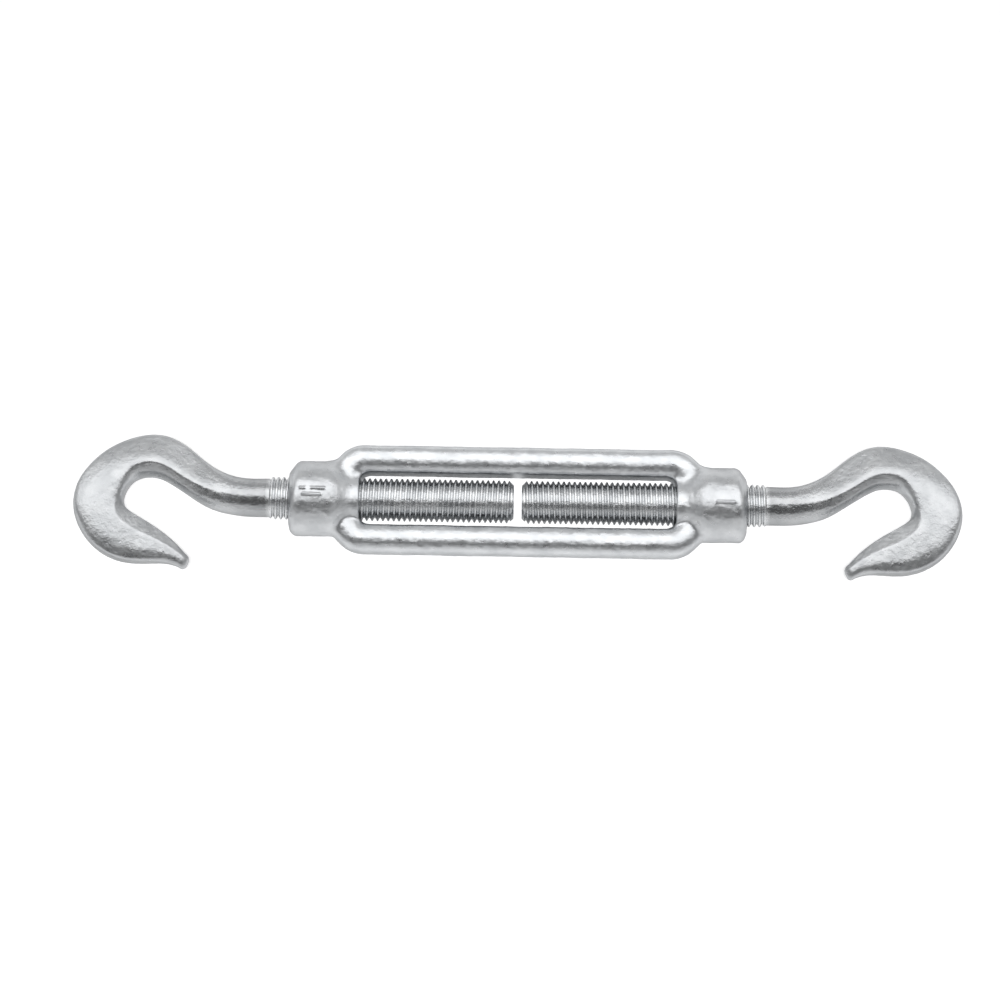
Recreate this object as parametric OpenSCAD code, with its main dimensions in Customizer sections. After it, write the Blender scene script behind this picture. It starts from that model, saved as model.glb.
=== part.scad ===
// Hook-and-hook turnbuckle with an open forged body, screwed nearly closed.
// X is the thread axis, Y lies in the plane of the bars and the hooks, Z is up.
// The origin is on the thread axis, at the middle of the body.

/* [Thread] */
// Outer diameter of the thread on both shanks
thread_d = 16; // [14:1:16]
// Pitch of the thread
thread_pitch = 2; // [1.5:0.5:2.5]
// Radial gap between the thread crests and the bores of the bosses
thread_clearance = 0.05; // [0.02:0.01:0.1]
// Gap between the inner ends of the two shanks
shank_gap = 3; // [1:0.5:10]
// Bevel on the inner end of each shank
shank_bevel = 1.8; // [1:0.1:2.5]

/* [Body] */
// Length of the body between its end faces
body_length = 170; // [150:5:200]
// Diameter of the two threaded bosses
boss_d = 28; // [26:1:30]
// Straight length of a boss, from its end face to the yoke
boss_length = 15.5; // [12:0.5:18]
// Radius of the end face, inside the rounded rim of the boss
boss_face_r = 10; // [9.5:0.5:11]
// Width of the window between the bars
window_w = 19.4; // [17:0.2:20]
// Radius of the window's corners
window_corner_r = 4; // [2:0.5:6]
// Thickness of the solid yoke between the window and the boss
yoke_length = 11; // [10:0.5:13]
// Width of each bar, from its flat inner side to its flat outer side
bar_w = 10.8; // [10:0.1:13]
// Thickness of the bars and yokes
bar_t = 14.5; // [13:0.5:16]

/* [Hooks] */
// Plain neck between a boss and the start of the thread's runout
neck_gap = 7.5; // [6:0.5:12]
// Diameter of the neck
neck_d = 14.5; // [14:0.1:14.9]
// Sides of the hook's section
hook_sides = 20; // [16:4:24]
// Rings between two stations of the hook
hook_steps = 4; // [3:1:5]

/* [Hidden] */
$fn = 96;
STEEL = [0.76, 0.77, 0.78];
eps = 0.01;

body_end = body_length / 2;
bore_r = thread_d / 2;
crest_r = bore_r - thread_clearance;
thread_depth = 0.6 * thread_pitch;
root_r = crest_r - thread_depth;
bore_bevel = 0.8;

bar_mid = 0.48 * bar_w;
bar_edge = window_w / 2;
yoke_end = body_end - boss_length;
bend_x = yoke_end - bar_w;
window_end = yoke_end - yoke_length;
rim_length = 3.5;
rim_steps = 5;
flare_length = 9;
flare_r = 9.4;

shank_start = shank_gap / 2;
shank_end = body_end + neck_gap;
runout_length = 1;
thread_start = shank_start + 0.5;
thread_count = floor((shank_end - runout_length - thread_start) / thread_pitch);

// Stations along the hook: distance past the shank's end, height in Y, width in the hook's plane and thickness in Z.
// The hook rises from the neck, turns over the bowl and comes back under the axis as a beak.
HOOK = [
    [1.5, 0, 14.4, 14.4], [8.5, 0, 14.4, 14.4], [17, 1.5, 14.4, 14.4], [26.5, 6.5, 14.2, 14.4],
    [35.5, 12.8, 15.2, 14.6], [44.5, 15.2, 16, 15], [56.5, 10.5, 15.5, 15.5], [63, -1.5, 18.6, 15.5],
    [59.8, -11, 19, 15], [50, -16.8, 16.8, 13.5], [40, -19.8, 11.2, 10.5], [33.5, -23, 6.2, 6.6],
    [31, -24.6, 4.2, 4.4], [29.4, -25.5, 1.6, 1.8]
];
neck_end = 8.5;

// Catmull-Rom curve through the rows of p, at place i + t along it
function row(p, i) =
    i < 0 ? 2 * p[0] - p[1] :
    i >= len(p) ? 2 * p[len(p) - 1] - p[len(p) - 2] :
    p[i];
function spline(p, i, t) =
    let (a = row(p, i - 1), b = row(p, i), c = row(p, i + 1), d = row(p, i + 2))
    0.5 * (2 * b + (c - a) * t + (2 * a - 5 * b + 4 * c - d) * t * t + (3 * b - a - 3 * c + d) * t * t * t);
function slope(p, i, t) =
    let (a = row(p, i - 1), b = row(p, i), c = row(p, i + 1), d = row(p, i + 2))
    (c - a) + 2 * (2 * a - 5 * b + 4 * c - d) * t + 3 * (3 * b - a - 3 * c + d) * t * t;

// One ring of the hook: an ellipse square to the centre line
function ring(s, v) =
    let (n = [-v[1], v[0]] / norm([v[0], v[1]]))
    [for (k = [0 : hook_sides - 1])
        let (a = 360 * k / hook_sides, w = cos(a) * s[2] / 2)
        [shank_end + s[0] + n[0] * w, s[1] + n[1] * w, sin(a) * s[3] / 2]];

// Section of a bar: crowned over the top and bottom, flat on its sides. Inside a bend its inner half is solid.
module bar_section(bent) {
    intersection() {
        translate([bar_mid, 0]) circle(d = bar_t);
        translate([0, -bar_t / 2]) square([bar_w, bar_t]);
    }
    if (bent)
        translate([0, -bar_t / 2]) square([bar_mid, bar_t]);
}

module bar() {
    translate([-bend_x, bar_edge, 0])
        rotate([90, 0, 90])
            linear_extrude(2 * bend_x) bar_section(false);
}

// Quarter bend that carries a bar round into the yoke
module bend() {
    translate([bend_x, bar_edge, 0])
        rotate_extrude(angle = 90) bar_section(true);
}

// Boss, turned about X: round rim, straight barrel, and a flare that sinks into the yoke
module boss() {
    rim = [for (k = [0 : rim_steps])
        let (a = 90 * k / rim_steps)
        [boss_face_r + (boss_d / 2 - boss_face_r) * sin(a), body_end - rim_length * (1 - cos(a))]];
    barrel = [[boss_d / 2, yoke_end], [flare_r, yoke_end - flare_length], [0, yoke_end - flare_length]];
    rotate([90, 0, 90])
        rotate_extrude() polygon(concat([[0, body_end]], rim, barrel));
}

module body_half() {
    boss();
    bend();
    mirror([0, 1, 0]) bend();
    translate([window_end - window_corner_r - 1, -bar_edge, -bar_t / 2])
        cube([yoke_end - window_end + window_corner_r + 1, window_w, bar_t]);
}

// Window between the bars, with round corners
module window() {
    corner_x = window_end - window_corner_r;
    corner_y = bar_edge - window_corner_r;
    linear_extrude(2 * boss_d, center = true) {
        square([2 * corner_x, window_w], center = true);
        square([2 * window_end, 2 * corner_y], center = true);
        for (x = [-1, 1], y = [-1, 1])
            translate([x * corner_x, y * corner_y]) circle(window_corner_r);
    }
}

// Bore of one boss, bevelled at both ends. It starts inside the window, past the round of its corners.
module boss_bore() {
    bore_start = window_end - window_corner_r - 1;
    rotate([0, 90, 0]) {
        translate([0, 0, bore_start]) cylinder(h = body_end - bore_start + 1, r = bore_r);
        translate([0, 0, window_end - eps])
            cylinder(h = bore_bevel + eps, r1 = bore_r + bore_bevel + eps, r2 = bore_r);
        translate([0, 0, body_end - bore_bevel])
            cylinder(h = bore_bevel + eps, r1 = bore_r, r2 = bore_r + bore_bevel + eps);
    }
}

// Forged body: two bars joined by a yoke and a threaded boss at each end
module body() {
    color(STEEL)
    difference() {
        union() {
            bar();
            mirror([0, 1, 0]) bar();
            body_half();
            mirror([1, 0, 0]) body_half();
        }
        window();
        boss_bore();
        mirror([1, 0, 0]) boss_bore();
    }
}

// Threaded shank: the thread is drawn as rings of its own pitch and depth
module shank() {
    land = thread_pitch / 8;
    flank = (thread_pitch - 3 * land) / 2;
    bevelled = function (r, x) min(r, crest_r - shank_bevel + x - shank_start);
    rings = [for (i = [0 : thread_count - 1])
        let (x = thread_start + i * thread_pitch)
        each [
            [bevelled(root_r, x), x], [bevelled(root_r, x + 2 * land), x + 2 * land],
            [bevelled(crest_r, x + 2 * land + flank), x + 2 * land + flank],
            [bevelled(crest_r, x + 3 * land + flank), x + 3 * land + flank]
        ]];
    thread_end = thread_start + thread_count * thread_pitch;
    tail = [[root_r, thread_end], [neck_d / 2, shank_end], [0, shank_end]];
    nose = [[0, shank_start], [crest_r - shank_bevel, shank_start]];
    color(STEEL)
    rotate([90, 0, 90])
        rotate_extrude() polygon(concat(nose, rings, tail));
}

// Neck and hook, forged in one with the shank
module hook() {
    last = len(HOOK) - 2;
    rings = concat(
        [for (i = [0 : last], j = [0 : hook_steps - 1])
            ring(spline(HOOK, i, j / hook_steps), slope(HOOK, i, j / hook_steps))],
        [ring(spline(HOOK, last, 1), slope(HOOK, last, 1))]);
    n = hook_sides;
    count = len(rings);
    sides = [for (i = [0 : count - 2], k = [0 : n - 1])
        let (a = i * n + k, b = i * n + (k + 1) % n)
        each [[a, b + n, b], [a, a + n, b + n]]];
    caps = [[for (k = [0 : n - 1]) k], [for (k = [n - 1 : -1 : 0]) (count - 1) * n + k]];
    color(STEEL) {
        translate([shank_end, 0, 0]) rotate([0, 90, 0]) cylinder(h = neck_end, d = neck_d);
        polyhedron(points = [for (r = rings) each r], faces = concat(sides, caps), convexity = 6);
    }
}

module shank_right() {
    shank();
}

module hook_right() {
    hook();
}

module shank_left() {
    mirror([1, 0, 0]) shank();
}

module hook_left() {
    mirror([1, 0, 0]) hook();
}

body();
shank_right();
hook_right();
shank_left();
hook_left();
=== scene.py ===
"""Looks for a hook-and-hook turnbuckle: one forged body and two screwed-in hooks, all bright zinc plated.

X is the thread axis, Y lies in the plane of the bars and hooks, Z is up. Shapes are worked out in millimetres and
made in metres.
"""

import math

import bpy
import numpy as np
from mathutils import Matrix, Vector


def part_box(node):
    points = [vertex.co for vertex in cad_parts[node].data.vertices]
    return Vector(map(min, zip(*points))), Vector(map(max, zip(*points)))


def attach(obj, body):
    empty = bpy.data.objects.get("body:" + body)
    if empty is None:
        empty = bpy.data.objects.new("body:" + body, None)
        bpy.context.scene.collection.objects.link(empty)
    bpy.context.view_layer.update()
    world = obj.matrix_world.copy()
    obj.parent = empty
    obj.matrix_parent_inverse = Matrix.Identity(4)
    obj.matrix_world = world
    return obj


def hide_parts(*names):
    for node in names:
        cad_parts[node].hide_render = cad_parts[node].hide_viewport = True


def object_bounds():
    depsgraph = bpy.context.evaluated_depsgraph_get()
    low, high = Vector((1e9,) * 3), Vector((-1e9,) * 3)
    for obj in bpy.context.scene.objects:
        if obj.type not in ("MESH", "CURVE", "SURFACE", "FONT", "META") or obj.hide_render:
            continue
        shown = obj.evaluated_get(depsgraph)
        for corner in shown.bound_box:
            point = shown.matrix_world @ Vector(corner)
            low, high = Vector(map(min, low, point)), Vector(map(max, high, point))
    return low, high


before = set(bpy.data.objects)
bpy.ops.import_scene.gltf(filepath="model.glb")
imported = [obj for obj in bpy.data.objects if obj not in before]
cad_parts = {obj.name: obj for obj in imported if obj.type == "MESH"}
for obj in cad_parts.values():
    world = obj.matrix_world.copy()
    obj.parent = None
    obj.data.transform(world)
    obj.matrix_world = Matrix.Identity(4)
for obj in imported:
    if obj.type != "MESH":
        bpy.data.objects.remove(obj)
CAD_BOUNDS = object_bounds()

MM = 0.001

# ---- sizes, in mm: places come from the frame, and the rest repeat the CAD's own dimensions ----

BODY_LOW, BODY_HIGH = (np.array(corner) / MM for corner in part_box("body"))
SHANK_LOW, SHANK_HIGH = (np.array(corner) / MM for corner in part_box("shank_right"))

BODY_END = BODY_HIGH[0]
BOSS_R = BODY_HIGH[2]
BAR_OUTER = BODY_HIGH[1]
BAR_THICKNESS = 14.5
# The bars are crowned over the top and bottom: how far off the axis the crown stands, and its radius
BAR_CROWN = 14.82
BAR_CROWN_R = 6.5
# Where the bars begin to bend towards the boss, the radius and angle of that bend, and the slant's length
BEND_X = 57.0
BEND_R = 7.0
BEND_ANGLE = math.radians(45)
SLANT_LENGTH = 12
# How softly the crown meets the bar's outer side, and the two parts of the body meet the window
BAR_OUTER_SOFTNESS = 2.2
WINDOW_SOFTNESS = 1.0
BORE_R = 8.0
WINDOW_END = 58.5
WINDOW_HALF_WIDTH = 9.7
WINDOW_CORNER_R = 4.0
# The bars were forged a little off the threads' axis
BARS_SHIFT = -0.1
RING_R = 9.4
# Worn raised marks on the bosses: start and end (along X, and round the boss from its top towards +Y), half width
RIBS = [
    (73.5, -0.9, 80, -0.9, 0.45),
    (-71.5, 1.6, -76.5, 1.8, 0.42),
    (-73, -0.6, -79.5, -0.4, 0.45),
    (-78.6, 1.7, -80.6, 1.7, 0.42)]
# Size of the grid cells that the body's skin is found in, and how far the grid reaches past the CAD body
BODY_CELL = 0.5
BODY_MARGIN = 1.3

CREST_R = SHANK_HIGH[1]
THREAD_DEPTH = 1.2
PITCH = 2.0
# The crest's half width and the flank's width, as shares of half the pitch, and where the runout starts and ends
CREST_SHARE = 0.22
FLANK_SHARE = 0.62
RUNOUT = (-1.6, 0.6)
SHANK_START = SHANK_LOW[0]
SHANK_END = SHANK_HIGH[0]
BEVEL = 1.8

# Stations along a hook: outer edge and inner edge (distance past the shank's end, height in Y), thickness in Z, how
# square the section is (2 is an ellipse), the crease that the inner face starts from (-1 inner edge, 1 outer edge) and
# that face's tilt in degrees, then the outer face: its height halfway across in half thicknesses, its tilt, and how
# softly it meets the top
HOOK = np.array([
    [1.5, 7.2, 1.5, -7.2, 14.4, 2.0, -0.15, 19, 1.5, 23, 0.3],
    [7.5, 7.15, 8.5, -7.1, 14.4, 2.0, -0.15, 19, 1.4, 23, 0.3],
    [13, 7.9, 15, -6.3, 14.4, 2.0, -0.16, 19, 1.2, 23, 0.3],
    [18, 9.7, 21.5, -4.5, 14.4, 2.0, -0.22, 21, 1.02, 23, 0.3],
    [22.5, 12.3, 27.3, -1.4, 14.6, 2.05, -0.32, 28, 0.84, 25, 0.28],
    [27, 15.8, 32.7, 2.1, 14.9, 2.1, -0.43, 31, 0.74, 25.5, 0.28],
    [32, 19.7, 37.5, 5.1, 15, 2.1, -0.46, 31, 0.74, 25.5, 0.28],
    [37.5, 22.4, 41.5, 6.8, 15, 2.1, -0.44, 31, 0.77, 25.5, 0.28],
    [43.5, 23.2, 45, 7.1, 15.1, 2.1, -0.42, 31, 0.79, 26, 0.28],
    [50, 22.2, 47.8, 6.6, 15.2, 2.1, -0.46, 31, 0.8, 26, 0.28],
    [56.5, 19.6, 50.1, 5.5, 15.4, 2.3, -0.58, 32, 0.85, 25, 0.3],
    [62.5, 15.4, 52.1, 3.9, 15.5, 3.8, -0.74, 33, 0.95, 24, 0.3],
    [67.5, 10.1, 53.4, 2, 15.6, 5.0, -0.84, 34, 1.05, 22, 0.25],
    [70.9, 4.5, 54, 0.3, 15.6, 5.2, -0.85, 38, 1.14, 21, 0.2],
    [72.6, -1.7, 54.2, -1.2, 15.6, 4.4, -0.81, 41, 1.23, 20, 0.2],
    [72.2, -7.4, 53.9, -2.8, 15.6, 3.6, -0.73, 42, 1.28, 20, 0.15],
    [69.9, -13.2, 53.2, -4.4, 15.4, 3.2, -0.59, 39, 1.25, 19, 0.12],
    [65.8, -18.5, 51.8, -5.9, 15, 4.2, -0.48, 33, 1.21, 18, 0.1],
    [59.5, -22.8, 49.6, -7.4, 14.2, 5.0, -0.42, 28, 1.19, 18, 0.1],
    [52.5, -24.9, 46.4, -9.2, 13.1, 5.2, -0.36, 28, 1.19, 18, 0.1],
    [46, -25.2, 42.3, -11.6, 11.5, 4.8, -0.34, 28, 1.19, 18, 0.1],
    [40.5, -25.1, 38.3, -14.3, 9.7, 3.7, -0.3, 28, 1.18, 19, 0.1],
    [36.9, -25.4, 35, -16.9, 7.9, 2.8, -0.3, 28, 1.2, 20, 0.12],
    [34.4, -26.1, 32.2, -19.6, 6.3, 2.5, -0.35, 30, 1.26, 20, 0.15],
    [32.9, -26.7, 30.5, -21.5, 5.1, 2.4, -0.45, 33, 1.35, 20, 0.2],
])
TIP_LENGTH = 2.7
# Rougher patch under the beak: its middle, its reach along X and Y, and how deep it is
SCAR_X, SCAR_Y = 143, -21
SCAR_REACH_X, SCAR_REACH_Y = 11, 4
SCAR_DEPTH = 0.045
RING_POINTS = 96
# Ring points crowd towards the crease: how strongly, and within what angle; then how soft the crease is
CROWDING = 0.7
CROWDING_REACH = 0.35
CREASE_SOFTNESS = 0.04
THREAD_RINGS_PER_PITCH = 14
HOOK_RING_STEP = 0.7
# The hook's rings are averaged over this many neighbours on each side
HOOK_EASE = 5
# How far round the beak's tip each closing ring lies
TIP_STEPS = (0.2, 0.4, 0.58, 0.73, 0.85, 0.94, 0.985)

# The camera leans towards -Y and the object lies off level in the frame, both in degrees
VIEW_TILT = 10.0
VIEW_ROLL = 0.966

# The studio as the metal sees it: degrees from the camera towards +Y, and brightness; then how bright its ends are
STUDIO_BANDS = [
    (-160, 0.9), (-62, 0.9), (-42, 0.7), (-30, 0.13), (-5, 0.13),
    (8, 1.75), (54, 1.75), (66, 0.6), (88, 0.65), (112, 0.9)]
END_LEVEL = 0.4
# The ends begin to show where the metal looks this far along X, as a share of straight along it
END_START = 0.7

# What lights the floor: a broad lamp in W per square metre, a lamp at the camera in W, and the floor's own glow
BROAD_LIGHT = 0.9
NEAR_LIGHT = 48
FLOOR_GLOW = 0.36
FLOOR_SIDE = 6.0
# The floor lies this far under the part, in metres
FLOOR_GAP = 0.0002

# How far away the camera stands and how wide its view is there, in metres, and where it looks in its own picture
CAMERA_DISTANCE = 1.5
CAMERA_FIELD = 0.372
CAMERA_AIM = (-0.0066, 0.0008)

# How much of the metal's reflection is left where it is seen edge on
EDGE_TINT = 0.5

# The materials' colour ramps reach this far from the middle of the part, in mm
RAMP_REACH = 200

# ---- numbers ----

# Farther than any point of the body is from the nearest mark, in mm
FAR = 50.0


def smoothstep(low, high, x):
    """0 below low, 1 above high, and a smooth S between."""
    t = np.clip((x - low) / (high - low), 0, 1)
    return t * t * (3 - 2 * t)


def soft_min(a, b, k):
    """The smaller of a and b, rounded off where they differ by less than k."""
    h = np.maximum(k - np.abs(a - b), 0) / k
    return np.minimum(a, b) - h * h * k / 4


def soft_max(a, b, k):
    """The larger of a and b, rounded off in the same way."""
    return -soft_min(-a, -b, k)


def wave_field(points, wavelength, seed, waves=28):
    """A smooth random field of about unit size over points in mm, as a sum of plane waves."""
    rng = np.random.default_rng(seed)
    directions = rng.normal(size=(waves, 3))
    directions /= np.linalg.norm(directions, axis=1)[:, None]
    lengths = wavelength * rng.uniform(0.7, 1.6, waves)
    phases = rng.uniform(0, 2 * np.pi, waves)
    total = np.zeros(len(points))
    for direction, length, phase in zip(directions, lengths, phases):
        total += np.sin(points @ direction * (2 * np.pi / length) + phase)
    return total * math.sqrt(2 / waves)


def forged_skin(points, long_depth, short_depth, seed):
    """How far a forged surface stands off its true shape, in mm: long hollows and short hammered dimples."""
    return long_depth * wave_field(points, 12, seed) + short_depth * wave_field(points, 2.8, seed + 1)


# ---- mesh building ----

def new_object(name, vertices_mm, faces):
    """A smooth-shaded object in the scene, from points in mm."""
    mesh = bpy.data.meshes.new(name)
    mesh.from_pydata((np.asarray(vertices_mm) * MM).tolist(), [], faces)
    mesh.validate()
    mesh.shade_smooth()
    obj = bpy.data.objects.new(name, mesh)
    bpy.context.scene.collection.objects.link(obj)
    return obj


def normal_array(mesh):
    normals = np.empty(len(mesh.vertices) * 3)
    mesh.vertices.foreach_get("normal", normals)
    return normals.reshape(-1, 3)


def set_vertices(mesh, points_mm):
    mesh.vertices.foreach_set("co", (points_mm * MM).ravel())
    mesh.update()


# ---- hooks: shank, thread, neck, hook and beak in one unbroken skin ----

def thread_radius(x, angle):
    """Radius of a right-hand thread about X at distance x and angle from +Y towards +Z."""
    phase = np.abs(((x / PITCH - angle / (2 * np.pi)) % 1) - 0.5) * 2
    flank = np.clip((phase - CREST_SHARE) / FLANK_SHARE, 0, 1)
    radius = CREST_R - THREAD_DEPTH * flank
    neck_r = HOOK[0][4] / 2
    runout = smoothstep(SHANK_END + RUNOUT[0], SHANK_END + RUNOUT[1], x)
    radius = radius * (1 - runout) + neck_r * runout
    return np.minimum(radius, CREST_R - BEVEL + np.maximum(x - SHANK_START, 0))


def shank_rings():
    """Rings along the shank that follow the thread's helix."""
    nose = [SHANK_START, SHANK_START + 0.03]
    count = int(round((SHANK_END + 1 - SHANK_START) / PITCH * THREAD_RINGS_PER_PITCH))
    places = np.concatenate([nose, np.linspace(SHANK_START + 0.1, SHANK_END + 1, count)])
    angle = np.arange(RING_POINTS) * 2 * np.pi / RING_POINTS
    x, a = np.meshgrid(places, angle, indexing="ij")
    r = thread_radius(x, a)
    return np.stack([x, r * np.cos(a), r * np.sin(a)], axis=-1)


def spline(knots, values, places):
    """Natural cubic spline through values (one row a knot)."""
    gaps = np.diff(knots)
    n = len(knots)
    matrix = np.eye(n)
    right = np.zeros_like(values)
    for i in range(1, n - 1):
        matrix[i, i - 1:i + 2] = gaps[i - 1], 2 * (gaps[i - 1] + gaps[i]), gaps[i]
        right[i] = 6 * ((values[i + 1] - values[i]) / gaps[i] - (values[i] - values[i - 1]) / gaps[i - 1])
    bend = np.linalg.solve(matrix, right)
    i = np.clip(np.searchsorted(knots, places) - 1, 0, n - 2)
    gap = gaps[i][:, None]
    a = (knots[i + 1] - places)[:, None] / gap
    b = 1 - a
    curve = ((a ** 3 - a) * bend[i] + (b ** 3 - b) * bend[i + 1]) * gap ** 2 / 6
    return a * values[i] + b * values[i + 1] + curve


def eased(rows, reach):
    """Rows averaged with their neighbours under a bell, the two ends held."""
    window = np.hanning(2 * reach + 1)[1:-1]
    window /= window.sum()
    out = np.empty_like(rows)
    for k in range(rows.shape[1]):
        column = rows[:, k]
        before = 2 * column[0] - column[reach - 1:0:-1]
        after = 2 * column[-1] - column[-2:-reach - 1:-1]
        out[:, k] = np.convolve(np.concatenate([before, column, after]), window, mode="valid")
    return out


def section(row, narrow, thin):
    """One ring of a hook, from its outer edge over the top; narrow and thin scale its width and thickness."""
    outer, inner = row[0:2], row[2:4]
    thickness, square, crease, inner_tilt, outer_height, outer_tilt, softness = row[4:11]
    angle = np.arange(RING_POINTS) * 2 * np.pi / RING_POINTS
    side = np.where(angle > np.pi, -1, 1)
    fold = np.where(angle > np.pi, 2 * np.pi - angle, angle)
    crease_angle = math.acos(math.copysign(abs(crease) ** (square / 2), crease))
    off = fold - crease_angle
    fold = fold - CROWDING * off * np.exp(-(off / CROWDING_REACH) ** 2)
    c, s = np.cos(fold), np.sin(fold)
    u = np.sign(c) * np.abs(c) ** (2 / square)
    v = np.abs(s) ** (2 / square)
    shape = 2 * np.linalg.norm((outer - inner) / 2) / thickness
    outer_slope = math.tan(math.radians(outer_tilt)) * shape
    inner_slope = math.tan(math.radians(inner_tilt)) * shape
    crest = (1 - abs(crease) ** square) ** (1 / square)
    crest = soft_min(crest, outer_height - outer_slope * crease, softness)
    top = soft_min(v, outer_height - outer_slope * u, softness)
    top = soft_min(top, crest + inner_slope * (u - crease), CREASE_SOFTNESS)
    # The two edge points stay on the outline
    v = np.where(v < 0.02, v, top)
    centre, half = (outer + inner) / 2, (outer - inner) / 2 * narrow
    x = SHANK_END + centre[0] + half[0] * u
    y = centre[1] + half[1] * u
    return np.stack([x, y, side * v * thickness / 2 * thin], axis=1)


def hook_rings():
    """Rings from the neck to the beak, each spanning the hook from its outer edge to its inner edge."""
    middle = (HOOK[:, 0:2] + HOOK[:, 2:4]) / 2
    along = np.concatenate([[0], np.cumsum(np.linalg.norm(np.diff(middle, axis=0), axis=1))])
    places = np.linspace(0, along[-1], int(along[-1] / HOOK_RING_STEP))
    rows = eased(spline(along, HOOK, places), HOOK_EASE)
    rings = [section(row, 1, 1) for row in rows]
    last = rows[-1]
    heading = (rows[-1, 0:4] - rows[-6, 0:4]).reshape(2, 2).mean(axis=0)
    heading = np.tile(heading / np.linalg.norm(heading), 2)
    for t in TIP_STEPS:
        moved = last.copy()
        moved[0:4] += heading * TIP_LENGTH * t
        rings.append(section(moved, (1 - t ** 2.6) ** (1 / 2.6), (1 - t ** 1.4) ** 0.75))
    return np.array(rings)


def hook_mesh(name, side, seed):
    """A whole hook: side is 1 for the right-hand thread and -1 for its mirror image."""
    rings = np.concatenate([shank_rings(), hook_rings()])
    count = len(rings)
    points = rings.reshape(-1, 3)
    start = [SHANK_START, 0, 0]
    tip = rings[-1].mean(axis=0)
    points = np.vstack([points, start, tip])
    skin = smoothstep(SHANK_END + 1, SHANK_END + 8, points[:, 0])
    faces = []
    n = RING_POINTS
    # Quads between the rings, then a fan of triangles at each end
    for i in range(count - 1):
        for k in range(n):
            a, b = i * n + k, i * n + (k + 1) % n
            faces.append((a, b, b + n, a + n))
    first, last = count * n, count * n + 1
    for k in range(n):
        faces.append((first, (k + 1) % n, k))
        faces.append((last, (count - 1) * n + k, (count - 1) * n + (k + 1) % n))
    if side < 0:
        points = points * [-1, 1, 1]
        faces = [face[::-1] for face in faces]
    obj = new_object(name, points, faces)
    dents = skin * forged_skin(points, 0.022, 0.006, seed)
    off_x = (np.abs(points[:, 0]) - SCAR_X) / SCAR_REACH_X
    off_y = (points[:, 1] - SCAR_Y) / SCAR_REACH_Y
    dents += np.exp(-off_x ** 2 - off_y ** 2) * SCAR_DEPTH * wave_field(points, 2, seed + 2)
    set_vertices(obj.data, points + normal_array(obj.data) * dents[:, None])
    return obj


# ---- body: a distance field in mm, and a mesh of its surface ----

def bar_distance(x, y, z):
    """Distance to a bar that runs along X, bends through 45 degrees and sinks into the boss. x and y are positive."""
    diagonal = math.sqrt(0.5)
    centre_y = BAR_CROWN - BEND_R
    end_x = BEND_X + BEND_R * math.sin(BEND_ANGLE)
    end_y = BAR_CROWN - BEND_R * (1 - math.cos(BEND_ANGLE))
    turn = np.clip(np.arctan2(x - BEND_X, y - centre_y), 0, BEND_ANGLE)
    run = np.clip(((x - end_x) - (y - end_y)) * diagonal, 0, SLANT_LENGTH)
    # How far out from the crown's line each point is, and how far from the line in all
    straight = y - BAR_CROWN
    bent = np.hypot(x - BEND_X, y - centre_y) - BEND_R
    slanted = ((x - end_x) + (y - end_y)) * diagonal
    out = np.where(x < BEND_X, straight, np.where(turn < BEND_ANGLE, bent, slanted))
    past = np.where(turn < BEND_ANGLE, 0, np.hypot(x - end_x - run * diagonal, y - end_y + run * diagonal))
    across = np.where(turn < BEND_ANGLE, np.abs(out), past)
    above = np.maximum(np.abs(z) - (BAR_THICKNESS / 2 - BAR_CROWN_R), 0)
    crowned = np.hypot(across, above) - BAR_CROWN_R
    return soft_max(crowned, out - (BAR_OUTER - BAR_CROWN), BAR_OUTER_SOFTNESS)


def boss_distance(x, y, r):
    """Boss turned about X: a barrel that tapers to a ring at the window, with a bevel on its outer end."""
    radius = RING_R + (BOSS_R - RING_R) * smoothstep(60.5, 70.5, x)
    side = (r - radius) * 0.85
    slope = (x - BODY_END) * 0.83 + (r - 10.4 + 0.1 * y) * 0.56
    barrel = soft_max(soft_max(side, slope, 1.4), x - BODY_END, 0.7)
    return soft_max(barrel, WINDOW_END - x, 1.0)


def rib_distance(points):
    """Distance to the worn raised marks on the bosses."""
    nearest = np.full(len(points), FAR)
    radius = np.hypot(points[:, 1], points[:, 2]) - BOSS_R
    round_x = np.degrees(np.arctan2(points[:, 1], points[:, 2])) * math.radians(BOSS_R)
    for start_x, start_y, end_x, end_y, half in RIBS:
        run_x, run_y = end_x - start_x, end_y - start_y
        t = ((points[:, 0] - start_x) * run_x + (round_x - start_y) * run_y) / (run_x ** 2 + run_y ** 2)
        t = np.clip(t, 0, 1)
        away = np.sqrt((points[:, 0] - start_x - t * run_x) ** 2 + (round_x - start_y - t * run_y) ** 2 + radius ** 2)
        nearest = np.minimum(nearest, away - half)
    return nearest


def body_distance(points):
    """Distance to the body: bars, bosses and ribs joined, then the window and the bores cut out."""
    x, z = np.abs(points[:, 0]), points[:, 2]
    y = np.abs(points[:, 1] - BARS_SHIFT)
    r = np.hypot(points[:, 1], z)
    blend = 1.4 + 1.4 * smoothstep(-6, 6, points[:, 1])
    solid = soft_min(bar_distance(x, y, z), boss_distance(x, points[:, 1], r), blend)
    solid = soft_min(solid, rib_distance(points), 0.3)
    in_x = x - (WINDOW_END - WINDOW_CORNER_R)
    in_y = y - (WINDOW_HALF_WIDTH - WINDOW_CORNER_R)
    window = (np.hypot(np.maximum(in_x, 0), np.maximum(in_y, 0))
              + np.minimum(np.maximum(in_x, in_y), 0) - WINDOW_CORNER_R)
    solid = soft_max(solid, -window, WINDOW_SOFTNESS)
    bevel = np.clip(np.maximum(x - BODY_END + 0.9, WINDOW_END - x + 0.3), 0, 0.9)
    bore = np.maximum(r - BORE_R - bevel, WINDOW_END - 5 - x)
    return soft_max(solid, -bore, 0.3)


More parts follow.
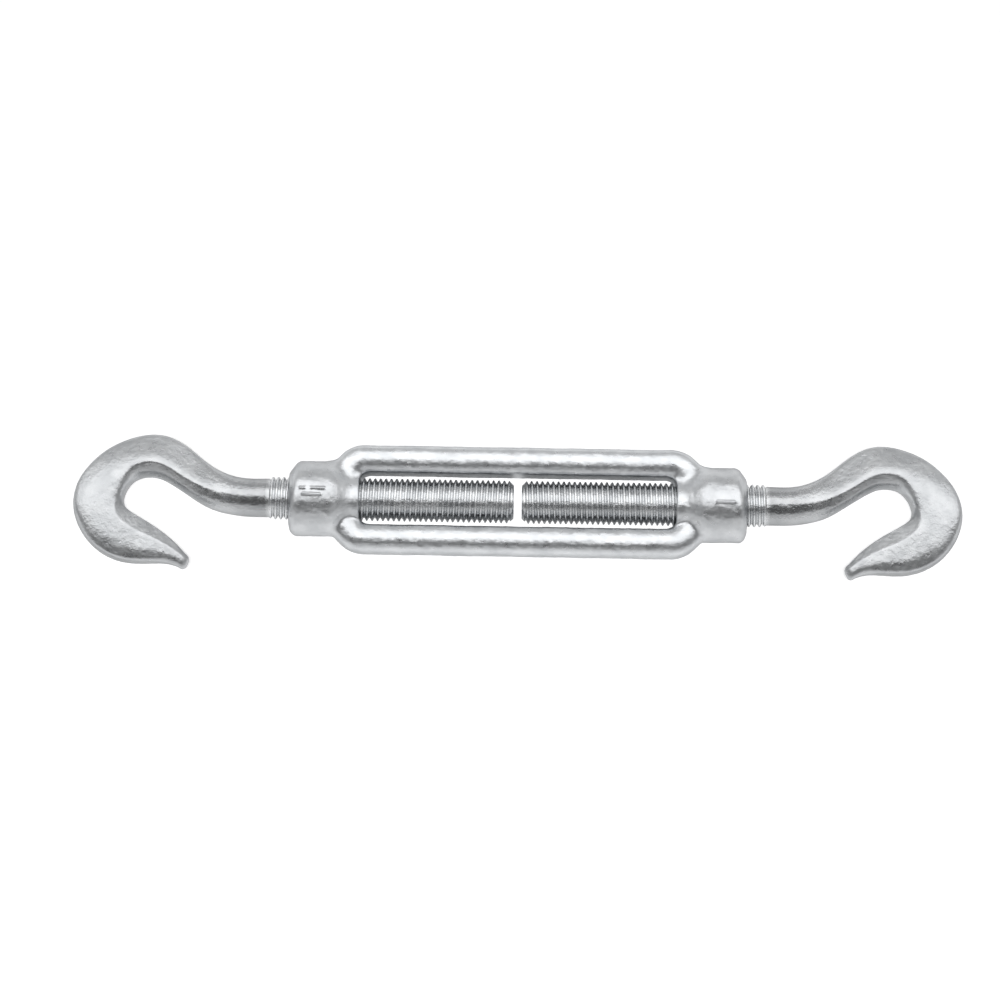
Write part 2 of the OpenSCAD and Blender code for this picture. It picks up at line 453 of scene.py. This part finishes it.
def drawn_onto(points, distance, rounds=6):
    """Points moved along the distance field's slope until they lie on its surface."""
    step = 0.02
    for _ in range(rounds):
        d = distance(points)
        slope = np.stack([
            (distance(points + step * np.eye(3)[k]) - distance(points - step * np.eye(3)[k])) / (2 * step)
            for k in range(3)], axis=1)
        size = np.maximum((slope ** 2).sum(axis=1), 0.1)
        points = points - slope * (np.clip(d, -1, 1) / size)[:, None]
    return points


def surface_of(distance, low, high, step):
    """Points and quads of the surface where distance is zero, one point for each grid cell that it crosses."""
    axes = [np.arange(low[k], high[k] + step, step) for k in range(3)]
    shape = [len(axis) for axis in axes]
    field = np.empty(shape)
    y, z = np.meshgrid(axes[1], axes[2], indexing="ij")
    for i, x in enumerate(axes[0]):
        field[i] = distance(np.stack([np.full(y.size, x), y.ravel(), z.ravel()], axis=1)).reshape(y.shape)
    inside = field < 0
    total = np.zeros([n - 1 for n in shape] + [3])
    count = np.zeros([n - 1 for n in shape], dtype=int)
    edges = []
    for axis in range(3):
        first = [slice(None)] * 3
        second = [slice(None)] * 3
        first[axis], second[axis] = slice(None, -1), slice(1, None)
        crossing = np.argwhere(inside[tuple(first)] != inside[tuple(second)])
        one, two = (axis + 1) % 3, (axis + 2) % 3
        start = field[tuple(crossing.T)]
        further = crossing.copy()
        further[:, axis] += 1
        end = field[tuple(further.T)]
        place = crossing.astype(float)
        place[:, axis] += start / (start - end)
        ring = []
        for a, b in ((1, 1), (0, 1), (0, 0), (1, 0)):
            cell = crossing.copy()
            cell[:, one] -= a
            cell[:, two] -= b
            np.add.at(total, tuple(cell.T), place)
            np.add.at(count, tuple(cell.T), 1)
            ring.append(cell)
        edges.append((ring, start < 0))
    used = count > 0
    index = np.cumsum(used.ravel()).reshape(used.shape) - 1
    points = total[used] / count[used][:, None] * step + np.array(low)
    quads = []
    for ring, outwards in edges:
        corners = np.stack([index[tuple(cell.T)] for cell in ring], axis=1)
        quads.append(np.where(outwards[:, None], corners, corners[:, ::-1]))
    return points, np.concatenate(quads)


def body_mesh(name, seed):
    """The forged body's skin, found as a surface of its distance field."""
    points, quads = surface_of(body_distance, BODY_LOW - BODY_MARGIN, BODY_HIGH + BODY_MARGIN, BODY_CELL)
    points = drawn_onto(points, body_distance)
    obj = new_object(name, points, quads.tolist())
    r = np.hypot(points[:, 1], points[:, 2])
    outside = smoothstep(BORE_R + 0.1, BORE_R + 1.5, r)
    skin = outside * forged_skin(points, 0.04, 0.022, seed)
    set_vertices(obj.data, points + normal_array(obj.data) * skin[:, None])
    return obj


# ---- materials ----

def zinc(name, stretches, grain, pits):
    """Bright zinc plate on forged steel. Each stretch is a distance from the middle in mm, a colour and a roughness;
    grain and pits are bump depths in mm."""
    material = bpy.data.materials.new(name)
    material.use_nodes = True
    nodes, links = material.node_tree.nodes, material.node_tree.links
    shader = nodes["Principled BSDF"]
    shader.inputs["Metallic"].default_value = 1.0
    shader.inputs["Specular Tint"].default_value = (EDGE_TINT, EDGE_TINT, EDGE_TINT, 1)
    place = nodes.new("ShaderNodeTexCoord")

    def noise(feature_mm, detail):
        node = nodes.new("ShaderNodeTexNoise")
        node.inputs["Scale"].default_value = 1 / (feature_mm * MM)
        node.inputs["Detail"].default_value = detail
        links.new(place.outputs["Object"], node.inputs["Vector"])
        return node.outputs["Fac"]

    def ranged(value, low, high, out_low, out_high):
        node = nodes.new("ShaderNodeMapRange")
        node.inputs["From Min"].default_value = low
        node.inputs["From Max"].default_value = high
        node.inputs["To Min"].default_value = out_low
        node.inputs["To Max"].default_value = out_high
        links.new(value, node.inputs["Value"])
        return node.outputs["Result"]

    def combined(operation, one, two):
        node = nodes.new("ShaderNodeMath")
        node.operation = operation
        links.new(one, node.inputs[0])
        links.new(two, node.inputs[1])
        return node.outputs["Value"]

    split = nodes.new("ShaderNodeSeparateXYZ")
    links.new(place.outputs["Object"], split.inputs["Vector"])
    size = nodes.new("ShaderNodeMath")
    size.operation = "ABSOLUTE"
    links.new(split.outputs["X"], size.inputs[0])
    tone = nodes.new("ShaderNodeValToRGB")
    links.new(ranged(size.outputs["Value"], 0, RAMP_REACH * MM, 0, 1), tone.inputs["Fac"])
    stops = tone.color_ramp.elements
    while len(stops) < len(stretches):
        stops.new(0.5)
    for stop, (distance, colour, roughness) in zip(stops, stretches):
        stop.position = distance / RAMP_REACH
        stop.color = (*colour, roughness)
    mottle = nodes.new("ShaderNodeMix")
    mottle.data_type = "RGBA"
    mottle.blend_type = "MULTIPLY"
    mottle.inputs["B"].default_value = (0.86, 0.865, 0.87, 1)
    links.new(ranged(noise(6, 5), 0.62, 0.38, 0, 1), mottle.inputs["Factor"])
    links.new(tone.outputs["Color"], mottle.inputs["A"])
    links.new(mottle.outputs["Result"], shader.inputs["Base Color"])
    uneven = ranged(noise(2.5, 5), 0.3, 0.7, -0.05, 0.05)
    links.new(combined("ADD", tone.outputs["Alpha"], uneven), shader.inputs["Roughness"])

    rough_bump = nodes.new("ShaderNodeBump")
    rough_bump.inputs["Distance"].default_value = pits * MM
    links.new(noise(1.5, 3), rough_bump.inputs["Height"])
    fine_bump = nodes.new("ShaderNodeBump")
    fine_bump.inputs["Distance"].default_value = grain * MM
    links.new(noise(0.45, 4), fine_bump.inputs["Height"])
    links.new(rough_bump.outputs["Normal"], fine_bump.inputs["Normal"])
    links.new(fine_bump.outputs["Normal"], shader.inputs["Normal"])
    return material


def floor_material():
    """A pale table that glows a little, so that no hard shadow shows in the metal."""
    material = bpy.data.materials.new("pale_floor")
    material.use_nodes = True
    shader = material.node_tree.nodes["Principled BSDF"]
    shader.inputs["Base Color"].default_value = (0.9, 0.9, 0.9, 1)
    shader.inputs["Roughness"].default_value = 0.9
    shader.inputs["Specular IOR Level"].default_value = 0.1
    shader.inputs["Emission Color"].default_value = (1, 1, 1, 1)
    shader.inputs["Emission Strength"].default_value = FLOOR_GLOW
    return material


# ---- studio ----

def studio_world():
    """A soft tent seen only in the metal: a bright panel, a dark gap beside it and pale walls."""
    world = bpy.data.worlds.new("studio")
    bpy.context.scene.world = world
    world.use_nodes = True
    world.cycles_visibility.diffuse = False
    nodes, links = world.node_tree.nodes, world.node_tree.links
    background = nodes["Background"]
    place = nodes.new("ShaderNodeTexCoord")
    split = nodes.new("ShaderNodeSeparateXYZ")
    links.new(place.outputs["Generated"], split.inputs["Vector"])
    turn = nodes.new("ShaderNodeMath")
    turn.operation = "ARCTAN2"
    links.new(split.outputs["Y"], turn.inputs[0])
    links.new(split.outputs["Z"], turn.inputs[1])
    share = nodes.new("ShaderNodeMapRange")
    share.inputs["From Min"].default_value = -math.pi
    share.inputs["From Max"].default_value = math.pi
    links.new(turn.outputs["Value"], share.inputs["Value"])
    ramp = nodes.new("ShaderNodeValToRGB")
    links.new(share.outputs["Result"], ramp.inputs["Fac"])
    stops = ramp.color_ramp.elements
    while len(stops) < len(STUDIO_BANDS):
        stops.new(0.5)
    for stop, (degrees, level) in zip(stops, STUDIO_BANDS):
        stop.position = (degrees - VIEW_TILT + 180) / 360
        stop.color = (level, level, level, 1)
    sideways = nodes.new("ShaderNodeMath")
    sideways.operation = "ABSOLUTE"
    links.new(split.outputs["X"], sideways.inputs[0])
    ends = nodes.new("ShaderNodeMapRange")
    ends.inputs["From Min"].default_value = END_START
    ends.inputs["From Max"].default_value = 1.0
    links.new(sideways.outputs["Value"], ends.inputs["Value"])
    blend = nodes.new("ShaderNodeMix")
    blend.data_type = "RGBA"
    blend.inputs["B"].default_value = (END_LEVEL, END_LEVEL, END_LEVEL, 1)
    links.new(ends.outputs["Result"], blend.inputs["Factor"])
    links.new(ramp.outputs["Color"], blend.inputs["A"])
    links.new(blend.outputs["Result"], background.inputs["Color"])
    background.inputs["Strength"].default_value = 1.0


def floor_lights(place):
    """A broad lamp, and a small one beside the camera, that light the floor and don't show in the metal."""
    broad = bpy.data.lights.new("broad", "SUN")
    broad.angle = math.radians(6)
    broad.energy = BROAD_LIGHT
    near = bpy.data.lights.new("near", "POINT")
    near.shadow_soft_size = 0.02
    near.energy = NEAR_LIGHT
    for lamp in (broad, near):
        obj = bpy.data.objects.new(lamp.name, lamp)
        obj.rotation_euler = (math.radians(VIEW_TILT), 0, 0)
        obj.location = place
        obj.visible_glossy = False
        bpy.context.scene.collection.objects.link(obj)


def floor(z):
    corners = [(x * FLOOR_SIDE, y * FLOOR_SIDE, z) for x, y in ((-1, -1), (1, -1), (1, 1), (-1, 1))]
    mesh = bpy.data.meshes.new("floor")
    mesh.from_pydata(corners, [], [(0, 1, 2, 3)])
    obj = bpy.data.objects.new("floor", mesh)
    bpy.context.scene.collection.objects.link(obj)
    obj.data.materials.append(floor_material())


def camera():
    """Nearly straight down from far away, with the object lying a degree off level. Returns the camera's place."""
    tilt, roll = math.radians(VIEW_TILT), math.radians(VIEW_ROLL)
    right = np.array([math.cos(roll), math.sin(roll), 0])
    look = np.array([-math.sin(roll) * math.sin(tilt), math.cos(roll) * math.sin(tilt), -math.cos(tilt)])
    up = np.cross(right, look)
    centre = CAMERA_AIM[0] * right + CAMERA_AIM[1] * up
    data = bpy.data.cameras.new("camera")
    data.sensor_width = 36
    data.lens = data.sensor_width * CAMERA_DISTANCE / CAMERA_FIELD
    obj = bpy.data.objects.new("camera", data)
    obj.location = centre - look * CAMERA_DISTANCE
    obj.rotation_euler = (tilt, 0, roll)
    bpy.context.scene.collection.objects.link(obj)
    bpy.context.scene.camera = obj
    return obj.location


# ---- the object ----

# The body's tone darkens from the bars to the bosses. The hook's tone is lightest on the thread and darkest on the
# neck next to it, then grows lighter along the neck into the hook
body_zinc = zinc("zinc_body", [
    (58, (0.67, 0.685, 0.7), 0.31),
    (72, (0.6, 0.612, 0.625), 0.31)], grain=0.045, pits=0.12)
hook_zinc = zinc("zinc_hook", [
    (SHANK_END - 1, (0.76, 0.77, 0.78), 0.25),
    (SHANK_END + 1, (0.41, 0.418, 0.426), 0.21),
    (101, (0.45, 0.459, 0.468), 0.21),
    (110, (0.52, 0.53, 0.54), 0.25),
    (122, (0.53, 0.54, 0.55), 0.3),
    (150, (0.515, 0.526, 0.537), 0.31)], grain=0.07, pits=0.17)

body = body_mesh("forged_body", seed=11)
body.data.materials.append(body_zinc)
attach(body, "turnbuckle_body")
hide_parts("body")

for side, where, seed in ((1, "right", 21), (-1, "left", 37)):
    hook = hook_mesh("forged_hook_" + where, side, seed)
    hook.data.materials.append(hook_zinc)
    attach(hook, where + "_hook")
    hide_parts("hook_" + where, "shank_" + where)

studio_world()
floor(CAD_BOUNDS[0][2] - FLOOR_GAP)
floor_lights(camera())
bpy.context.scene.view_settings.view_transform = "Standard"
